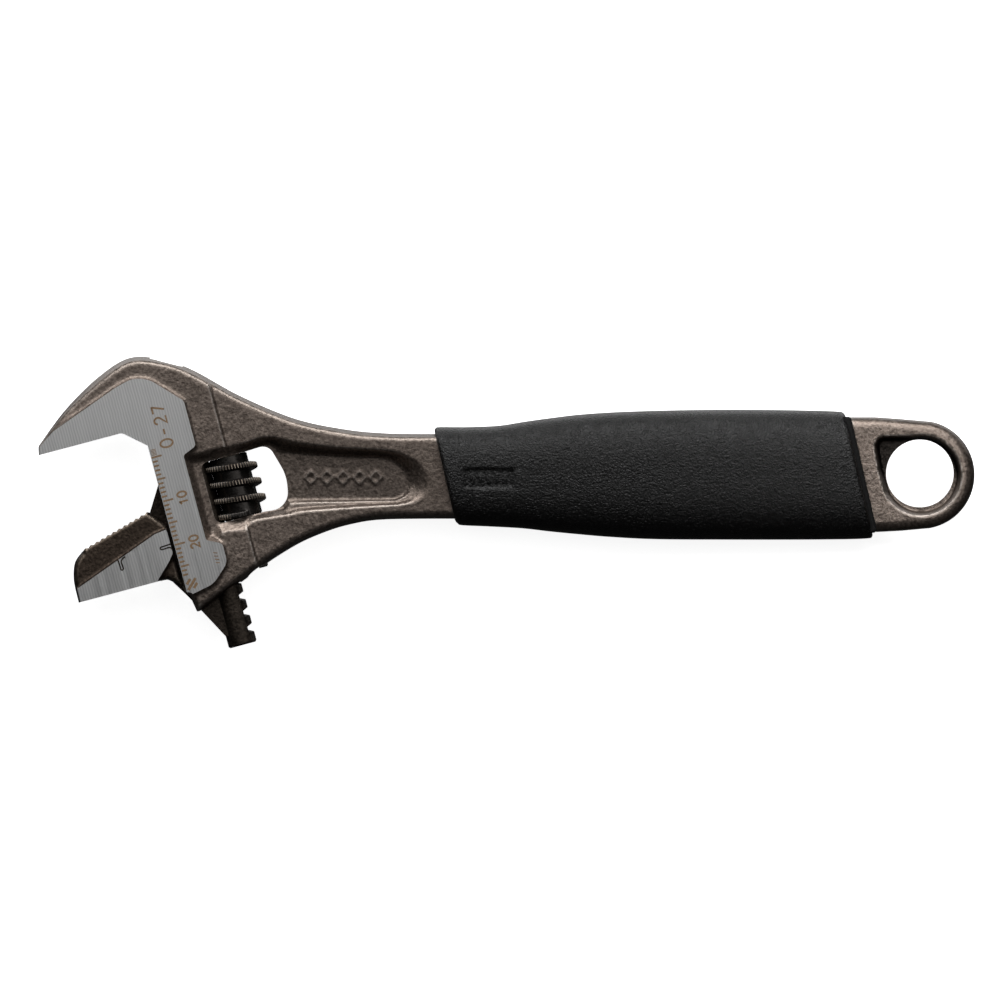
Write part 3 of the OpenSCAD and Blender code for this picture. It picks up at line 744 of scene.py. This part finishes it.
def stroke(points, width, closed=False):
    """One line of a mark, through points of the head's axes, as a thin closed bar."""
    p = np.asarray(points, float)
    ahead = np.roll(p, -1, axis=0) - p
    behind = p - np.roll(p, 1, axis=0)
    if not closed:
        ahead[-1], behind[0] = behind[-1], ahead[0]
    ahead /= np.linalg.norm(ahead, axis=1)[:, None]
    behind /= np.linalg.norm(behind, axis=1)[:, None]
    direction = (ahead + behind) / np.linalg.norm(ahead + behind, axis=1)[:, None]
    mitre = 1 / np.maximum(np.sum(direction * ahead, 1), 0.6)
    side = np.stack([-direction[:, 1], direction[:, 0]], 1) * (mitre * width / 2)[:, None]
    left, right = head(p + side), head(p - side)
    n, start = len(p), len(mark_vertices)
    for z in (MARK_FOOT, MARK_TOP):
        mark_vertices.extend([(x, y, z) for x, y in np.concatenate([left, right])])
    pairs = [(k, (k + 1) % n) for k in range(n if closed else n - 1)]
    for i, j in pairs:
        mark_faces.extend([[start + q for q in face] for face in (
            [n + i, n + j, j, i], [2 * n + i, 2 * n + j, 3 * n + j, 3 * n + i],
            [i, j, 2 * n + j, 2 * n + i], [n + j, n + i, 3 * n + i, 3 * n + j])])
    if not closed:
        e = n - 1
        mark_faces.extend([[start + q for q in face] for face in (
            [n, 0, 2 * n, 3 * n], [e, n + e, 3 * n + e, 2 * n + e])])


def figure(character, a, b, tall, wide=None, width=0.44):
    """A figure that reads along B from its foot at A, with its left side at b."""
    wide = wide or 0.55 * tall

    def place(points):
        """Points of the figure's own unit box, in the head's axes."""
        q = np.asarray(points, float)
        return np.stack([a - tall * q[:, 1], b + wide * q[:, 0]], 1)

    if character == "0":
        stroke(place(arc([0.5, 0.5], 0.5, 0, 360, 24)[:-1]), width, closed=True)
    elif character == "1":
        stroke(place([[0.55, 1.0], [0.55, 0]]), width)
        stroke(place([[0.1, 0.72], [0.55, 0.93]]), width)
    elif character == "2":
        bend = arc([0.5, 0.7], 0.3, 165, -35, 10) * [1.4, 1] - [0.2, 0]
        stroke(place(np.concatenate([bend, [[0.06, 0.03], [1, 0.03]]])), width)
    elif character == "7":
        stroke(place([[0, 0.94], [0.95, 0.94]]), width)
        stroke(place([[0.88, 0.94], [0.32, 0]]), width)
    elif character == "-":
        stroke(place([[0.15, 0.45], [0.85, 0.45]]), width)


# The scale and its figures, the size range, the sign at the scale's end, and two rows of strokes.
FIRST_MARK, MARKS = -7.04, 28
for k in range(MARKS):
    reach = 2.45 if k % 10 == 0 else 2.0 if k % 5 == 0 else 1.3
    stroke([[0.12, FIRST_MARK - k], [reach, FIRST_MARK - k]], 0.42)
for text, low_b in (("10", -18.8), ("20", -28.9)):
    for k, character in enumerate(text):
        figure(character, 5.5, low_b + 1.65 * k, 2.0, 1.2)
for k, character in enumerate("0-27"):
    figure(character, 5.6, -5.6 + 2.6 * k, 2.8, 1.75)
for low_a, low_b, reach in ((0.45, -36.2, 1.0), (0.45, -37.5, 2.2), (1.75, -37.4, 1.0)):
    stroke([[low_a, low_b], [low_a + reach, low_b + reach]], 0.62)
for k in range(4):
    stroke([[7.9, -30.9 - 0.75 * k], [8.8, -31.2 - 0.75 * k]], 0.2)
for k in range(5):
    stroke([[0.35, -5.35 - 0.3 * k], [1.5, -5.35 - 0.3 * k]], 0.15)
marks = new_mesh("scale_marks", mark_vertices, mark_faces)

# ---- Materials ----


def keep_wear_and_painted_light(mesh, value):
    """Stores how worn each point is, with its painted highlight and painted shade, for the
    finishes that show it.
    """
    layer = mesh.attributes.new("wear_and_painted_light", "FLOAT", "POINT")
    layer.data.foreach_set("value", value.astype(np.float32))


def knurl_wear_and_painted_highlight(mesh):
    """Wears the crests of the worm's knurl; their worn colour is partly a painted highlight."""
    co = points_of(mesh)
    a, _ = on_head(co[:, 0], co[:, 1])
    reach = np.hypot(a - WORM_A, co[:, 2])
    keep_wear_and_painted_light(mesh, 1.2 * ease((reach - WORM_R + 0.17) / 0.15))


# The stored value of a place in full painted shade, far below what any edge gives.
FULL_PAINTED_SHADE = -6.0


def painted_shade_share(co):
    """How much painted shade the body gets at its points: in the eye's hollow, more towards its
    upper side, and on the upper wall of the neck's hollow.
    """
    x, y = co[:, 0], co[:, 1]
    in_eye = ease(inside(eye_hollow, x, y) / 0.9) * ease((y + 6) / 8)
    w = between(hollow_rim, hollow_floor, x, y)
    return np.maximum(in_eye, 2.4 * w * (1 - w) * ease((y - 1) / 3))


def edge_wear_and_painted_light(mesh, shade_share=None):
    """Wears each point by how sharply the surface bulges there, which the finishes show as worn
    edges and partly as painted highlight, and lowers it by a given share of painted shade.
    """
    n = len(mesh.vertices)
    co = points_of(mesh)
    normal = np.empty(n * 3, np.float32)
    mesh.vertices.foreach_get("normal", normal)
    normal = normal.reshape(-1, 3).astype(float)
    edge = np.empty(len(mesh.edges) * 2, np.int32)
    mesh.edges.foreach_get("vertices", edge)
    i, j = edge.reshape(-1, 2).T
    i, j = np.concatenate([i, j]), np.concatenate([j, i])
    away = co[j] - co[i]
    far = np.maximum(np.linalg.norm(away, axis=1), 0.02)
    bulge = np.clip(-2 * np.sum(away * normal[i], 1) / far ** 2, -3, 3)
    count = np.maximum(np.bincount(i, minlength=n), 1)
    value = np.bincount(i, bulge, minlength=n) / count
    for _ in range(2):
        value = 0.5 * value + 0.5 * np.bincount(i, value[j], minlength=n) / count
    if shade_share is not None:
        value = value + FULL_PAINTED_SHADE * shade_share(co)
    keep_wear_and_painted_light(mesh, value)


class Finish:
    """A procedural material, with short names for the nodes it uses."""

    def __init__(self, name, **settings):
        self.material = bpy.data.materials.new(name)
        self.material.use_nodes = True
        self.tree = self.material.node_tree
        self.shader = self.tree.nodes["Principled BSDF"]
        for key, value in settings.items():
            self.shader.inputs[key.replace("_", " ")].default_value = value
        self.place = self.node("ShaderNodeTexCoord").outputs["Object"]

    def node(self, kind, **inputs):
        """A new node, with values or sockets for its inputs."""
        made = self.tree.nodes.new(kind)
        for key, value in inputs.items():
            self.feed(made.inputs[key.replace("_", " ")], value)
        return made

    def feed(self, socket, value):
        """Links a socket to an input, or sets the input to a value."""
        if isinstance(value, bpy.types.NodeSocket):
            self.tree.links.new(value, socket)
        else:
            socket.default_value = value

    def stretched(self, sx, sy, sz, turn=0.0):
        """Object coordinates turned about Z and stretched."""
        made = self.node("ShaderNodeMapping", Vector=self.place)
        made.vector_type = "TEXTURE"
        made.inputs["Rotation"].default_value = (0, 0, turn)
        made.inputs["Scale"].default_value = (sx, sy, sz)
        return made.outputs[0]

    def noise(self, scale, detail=4.0, roughness=0.55, vector=None):
        """Fractal noise, from 0 to 1."""
        return self.node("ShaderNodeTexNoise", Vector=vector or self.place, Scale=scale,
                         Detail=detail, Roughness=roughness).outputs["Fac"]

    def cells(self, scale, vector=None, feature="F1"):
        """The distance to a point, or to an edge, of random cells."""
        made = self.node("ShaderNodeTexVoronoi", Vector=vector or self.place, Scale=scale,
                         Randomness=1.0)
        made.feature = feature
        return made.outputs["Distance"]

    def wear_and_painted_light(self):
        """The wear, painted highlight and painted shade stored at the mesh's points."""
        made = self.node("ShaderNodeAttribute")
        made.attribute_name = "wear_and_painted_light"
        return made.outputs["Fac"]

    def between(self, value, low, high, out_low=0.0, out_high=1.0):
        """value between low and high, mapped to another range and held inside it."""
        made = self.tree.nodes.new("ShaderNodeMapRange")
        self.feed(made.inputs["Value"], value)
        for key, number in (("From Min", low), ("From Max", high), ("To Min", out_low),
                            ("To Max", out_high)):
            made.inputs[key].default_value = number
        return made.outputs["Result"]

    def maths(self, operation, a, b):
        """The result of an operation on two values."""
        made = self.tree.nodes.new("ShaderNodeMath")
        made.operation = operation
        self.feed(made.inputs[0], a)
        self.feed(made.inputs[1], b)
        return made.outputs[0]

    def mix(self, factor, a, b):
        """A colour between a and b."""
        made = self.tree.nodes.new("ShaderNodeMix")
        made.data_type = "RGBA"
        self.feed(made.inputs[0], factor)
        self.feed(made.inputs[6], a)
        self.feed(made.inputs[7], b)
        return made.outputs[2]

    def colour(self, value):
        """Sets the base colour."""
        self.feed(self.shader.inputs["Base Color"], value)

    def rough(self, value):
        """Sets the roughness."""
        self.feed(self.shader.inputs["Roughness"], value)

    def bump(self, *layers):
        """Bumps of (height, depth in millimetres), laid on one another."""
        normal = None
        for height, depth in layers:
            made = self.node("ShaderNodeBump", Height=height, Strength=1.0,
                             Distance=depth * MM)
            if normal is not None:
                self.feed(made.inputs["Normal"], normal)
            normal = made.outputs[0]
        self.feed(self.shader.inputs["Normal"], normal)


def forged_steel(name, dark, light, worn_and_highlight_colour, metallic=0.88, inner=1.0):
    """Blackened forged steel, with painted shade: below about 3.2 mm from the mid plane its colour
    keeps only the share inner, and the stored painted shade darkens it further.
    """
    f = Finish(name, Metallic=metallic)
    grain = f.noise(1500, 5, 0.65)
    blotch = f.noise(110, 3, 0.5)
    base = f.mix(f.between(grain, 0.36, 0.66), dark, light)
    base = f.mix(f.between(blotch, 0.35, 0.7, 0.0, 0.35), base, dark)
    # Bulging edges turn towards the bright colour: worn edges, and partly a painted highlight.
    edge = f.maths("MULTIPLY", f.between(f.wear_and_painted_light(), 0.25, 1.3), f.between(grain, 0.3, 0.6, 0.35, 1))
    shade = f.mix(f.maths("MULTIPLY", edge, 0.75), base, worn_and_highlight_colour)
    # Painted shade: below about 3.2 mm from the mid plane, in the recessed webs and the middle of
    # the sides, the colour keeps only the share inner.
    if inner < 1:
        height = f.maths("ABSOLUTE", f.node("ShaderNodeSeparateXYZ", Vector=f.place).outputs[2], 0)
        recess_shaded = f.mix(inner, (0, 0, 0, 1), shade)
        shade = f.mix(f.between(height, 3.2 * MM, 4.2 * MM), recess_shaded, shade)
        # Painted shade: nearly black where the stored value is lowest, in the eye's hollow and on
        # the neck's upper wall, and somewhat darker in hollow creases.
        shade = f.mix(f.between(f.wear_and_painted_light(), FULL_PAINTED_SHADE, -1.5, 0.12, 1), (0, 0, 0, 1), shade)
    f.colour(shade)
    f.rough(f.between(grain, 0.3, 0.7, 0.31, 0.47))
    pits = f.between(f.cells(950), 0.0, 0.35)
    f.bump((grain, 0.11), (f.noise(520, 3, 0.6), 0.16), (pits, 0.02))
    return f.material


def ground_steel(name, turn):
    """Bare ground steel, with its strokes turned by an angle about Z."""
    f = Finish(name, Metallic=1.0)
    strokes = f.node("ShaderNodeTexWave", Vector=f.stretched(1, 1, 1, turn), Scale=520.0,
                     Distortion=1.6, Detail=2.0).outputs["Fac"]
    lines = f.mix(0.5, f.noise(1.0, 2, 0.6, f.stretched(0.00022, 0.02, 0.02, turn)), strokes)
    coarse = f.noise(1.0, 2, 0.5, f.stretched(0.0011, 0.06, 0.06, turn))
    f.colour(f.mix(f.between(lines, 0.2, 0.8), (0.48, 0.48, 0.48, 1), (0.64, 0.64, 0.635, 1)))
    f.rough(f.between(coarse, 0.3, 0.7, 0.30, 0.42))
    f.bump((lines, 0.006), (coarse, 0.004))
    return f.material


def laser_mark():
    """The brown burn of a drawn mark."""
    f = Finish("laser_mark", Metallic=0.3)
    burn = f.noise(2600, 3, 0.6)
    f.colour(f.mix(f.between(burn, 0.35, 0.65), (0.16, 0.095, 0.05, 1), (0.30, 0.20, 0.115, 1)))
    f.rough(f.between(burn, 0.3, 0.7, 0.5, 0.75))
    f.bump((burn, 0.01))
    return f.material


def black_oxide():
    """Smooth black steel, brown where it is worn, which on the knurl's crests is partly a painted
    highlight.
    """
    f = Finish("black_oxide", Metallic=0.85)
    grain = f.noise(1800, 4, 0.6)
    base = f.mix(f.between(grain, 0.35, 0.65), (0.03, 0.027, 0.025, 1), (0.055, 0.05, 0.046, 1))
    f.colour(f.mix(f.between(f.wear_and_painted_light(), 0.3, 1.2), base, (0.5, 0.42, 0.34, 1)))
    f.rough(f.between(grain, 0.3, 0.7, 0.18, 0.28))
    f.bump((grain, 0.015))
    return f.material


def spring_wire():
    """Bright drawn wire."""
    f = Finish("spring_wire", Metallic=1.0)
    drawn = f.noise(1400, 3, 0.5)
    f.colour(f.mix(f.between(drawn, 0.3, 0.7), (0.36, 0.36, 0.37, 1), (0.52, 0.52, 0.53, 1)))
    f.rough(f.between(drawn, 0.3, 0.7, 0.25, 0.4))
    f.bump((drawn, 0.008))
    return f.material


def moulded_plastic():
    """Dull black plastic."""
    f = Finish("moulded_plastic", Specular_IOR_Level=0.1)
    grain = f.noise(1300, 3, 0.5)
    f.colour(f.mix(f.between(grain, 0.3, 0.7), (0.006, 0.006, 0.006, 1), (0.012, 0.012, 0.012, 1)))
    f.rough(f.between(grain, 0.3, 0.7, 0.6, 0.75))
    f.bump((grain, 0.03))
    return f.material


def leather_grain_rubber():
    """Black rubber with a fine leather grain, of bent cells, a swell and a roughness, with painted
    shade in the cells' creases.
    """
    f = Finish("grained_rubber", Specular_IOR_Level=0.36)
    wander = f.node("ShaderNodeTexNoise", Vector=f.place, Scale=420.0, Detail=2.0)
    bent = f.node("ShaderNodeVectorMath")
    bent.operation = "MULTIPLY_ADD"
    f.feed(bent.inputs[0], wander.outputs["Color"])
    bent.inputs[1].default_value = (0.0011, 0.0011, 0.0011)
    f.feed(bent.inputs[2], f.place)
    creases = f.between(f.cells(1500, bent.outputs[0], "DISTANCE_TO_EDGE"), 0.0, 0.25)
    swell = f.noise(1450, 3, 0.55)
    # Painted shade: the creases are half as light as the rest.
    f.colour(f.mix(creases, (0.002, 0.002, 0.002, 1), (0.004, 0.004, 0.004, 1)))
    f.rough(f.between(swell, 0.3, 0.7, 0.3, 0.42))
    f.bump((creases, 0.07), (swell, 0.23), (f.noise(3000, 3, 0.6), 0.16))
    return f.material


HEAD_TURN = math.atan2(AXIS_A[1], AXIS_A[0])
# The third colour of each is that of worn edges, and partly a painted highlight. Below about 3.2
# mm from the mid plane the body keeps 0.72 of its colour and the jaw 0.4, as painted shade in
# their recessed webs.
FORGED = forged_steel("forged_steel", (0.105, 0.083, 0.069, 1), (0.27, 0.222, 0.19, 1),
                      (0.64, 0.59, 0.54, 1), inner=0.72)
JAW_FORGED = forged_steel("jaw_steel", (0.03, 0.021, 0.015, 1), (0.088, 0.066, 0.051, 1),
                          (0.38, 0.32, 0.26, 1), inner=0.4)
GROUND = ground_steel("ground_steel", HEAD_TURN)
PIN_STEEL = forged_steel("pin_steel", (0.06, 0.055, 0.05, 1), (0.14, 0.13, 0.12, 1),
                         (0.4, 0.38, 0.35, 1), metallic=0.8)


def surfaces(obj):
    """Centres and normals of a mesh's faces."""
    mesh = obj.data
    centre, normal = (np.empty(len(mesh.polygons) * 3, np.float32) for _ in range(2))
    mesh.polygons.foreach_get("center", centre)
    mesh.polygons.foreach_get("normal", normal)
    return centre.reshape(-1, 3) / MM, normal.reshape(-1, 3)


def dress(obj, body, nodes, materials, chosen=None):
    """Gives a piece its materials, its body and the CAD nodes it stands for."""
    obj.data.materials.clear()
    for material in materials:
        obj.data.materials.append(material)
    if chosen is not None:
        obj.data.polygons.foreach_set("material_index", chosen.astype(np.int32))
        obj.data.update()
    if nodes:
        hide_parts(*nodes)
    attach(obj, body)


def ground_faces(obj, half_t, planes):
    """Which faces are ground: the flat sides, and planes (normal in A and B, distance)."""
    centre, normal = surfaces(obj)
    chosen = (np.abs(np.abs(centre[:, 2]) - half_t) < 0.004) & (np.abs(normal[:, 2]) > 0.999)
    a, b = on_head(centre[:, 0], centre[:, 1])
    na = normal[:, :2] @ AXIS_A
    nb = normal[:, :2] @ AXIS_B
    for ua, ub, distance in planes:
        chosen |= (na * ua + nb * ub > 0.999) & (np.abs(a * ua + b * ub - distance) < 0.01)
    return chosen


# The body's points store its edge wear with painted highlight, less its painted shade; the jaw's
# and the pin's store edge wear with painted highlight.
edge_wear_and_painted_light(body.data, painted_shade_share)
for piece in (jaw, pin):
    edge_wear_and_painted_light(piece.data)
knurl_wear_and_painted_highlight(worm.data)
dress(body, "wrench", ["wrench_body"], [FORGED, GROUND],
      ground_faces(body, HEAD_T / 2, [(0, -1, 0.0), (-1, 0, 0.0)]))
dress(jaw, "jaw", ["movable_jaw"], [JAW_FORGED, GROUND],
      ground_faces(jaw, JAW_FACE_T / 2, [(0, -1, -FLAT_B)]))
dress(worm, "worm", ["adjusting_worm"], [black_oxide()])
dress(pin, "wrench", ["worm_pin"], [PIN_STEEL])
dress(spring, "wrench", ["worm_spring"], [spring_wire()])
dress(collar, "wrench", ["grip_core"], [moulded_plastic()])
dress(grip, "wrench", ["grip_sleeve"], [leather_grain_rubber()])
dress(marks, "wrench", [], [laser_mark()])

# ---- Floor, light and camera ----

FLOOR_Z, FLOOR_REACH = cad_low[2] / MM - 0.15, 1500
corners = ((-1, -1), (1, -1), (1, 1), (-1, 1))
floor = new_mesh("floor", [[FLOOR_REACH * x, FLOOR_REACH * y, FLOOR_Z] for x, y in corners],
                 [[0, 1, 2, 3]])
paper = Finish("paper")
paper.colour(paper.mix(paper.noise(60, 2), (0.93, 0.93, 0.93, 1), (0.97, 0.97, 0.97, 1)))
paper.rough(0.9)
paper.shader.inputs["Emission Color"].default_value = (1, 1, 1, 1)
paper.shader.inputs["Emission Strength"].default_value = 0.9
floor.data.materials.append(paper.material)
floor.visible_diffuse = floor.visible_glossy = floor.visible_shadow = False


def softbox(name, place, target, size, power, spread=180):
    """A rectangular light, aimed at a point."""
    data = bpy.data.lights.new(name, "AREA")
    data.shape, data.size, data.size_y, data.energy = "RECTANGLE", size[0], size[1], power
    data.spread = math.radians(spread)
    light = bpy.data.objects.new(name, data)
    light.location = place
    aim = Vector(target) - Vector(place)
    light.rotation_euler = aim.to_track_quat("-Z", "Y").to_euler()
    light.visible_camera = False
    bpy.context.scene.collection.objects.link(light)


# MIDDLE is the point of the part that the camera looks at. Watts and metres from here on.
MIDDLE, WORLD_FILL = Vector((-0.0932, -0.0059, 0.0)), 0.024
softbox("overhead", (-0.14, 0.20, 0.40), (-0.14, 0.13, 0.0), (0.78, 0.38), 0.80)
softbox("key", (-0.12, 0.60, 0.30), MIDDLE, (0.95, 0.35), 6.6)
softbox("tail", (0.03, 0.08, 0.25), (0.012, 0.0, 0.0), (0.08, 0.08), 0.007, 28)
softbox("bounce", (-0.09, 0.10, -0.12), (-0.09, 0.0, 0.0), (0.5, 0.08), 0.2)
world = bpy.context.scene.world or bpy.data.worlds.new("studio")
bpy.context.scene.world = world
world.use_nodes = True
sky = world.node_tree.nodes["Background"]
sky.inputs["Color"].default_value = (1, 1, 1, 1)
seen = world.node_tree.nodes.new("ShaderNodeLightPath").outputs["Is Camera Ray"]
strength = world.node_tree.nodes.new("ShaderNodeMapRange")
world.node_tree.links.new(seen, strength.inputs["Value"])
strength.inputs["To Min"].default_value = WORLD_FILL
world.node_tree.links.new(strength.outputs["Result"], sky.inputs["Strength"])
bpy.context.scene.view_settings.view_transform = "Standard"

IMAGE_PIXELS, PIXELS_PER_MM = 1000, 4.505
camera_data = bpy.data.cameras.new("camera")
camera_data.type, camera_data.ortho_scale = "ORTHO", IMAGE_PIXELS / PIXELS_PER_MM * MM
camera_data.clip_end = 10
camera = bpy.data.objects.new("camera", camera_data)
camera.location = (MIDDLE[0], MIDDLE[1], 0.3)
bpy.context.scene.collection.objects.link(camera)
bpy.context.scene.camera = camera
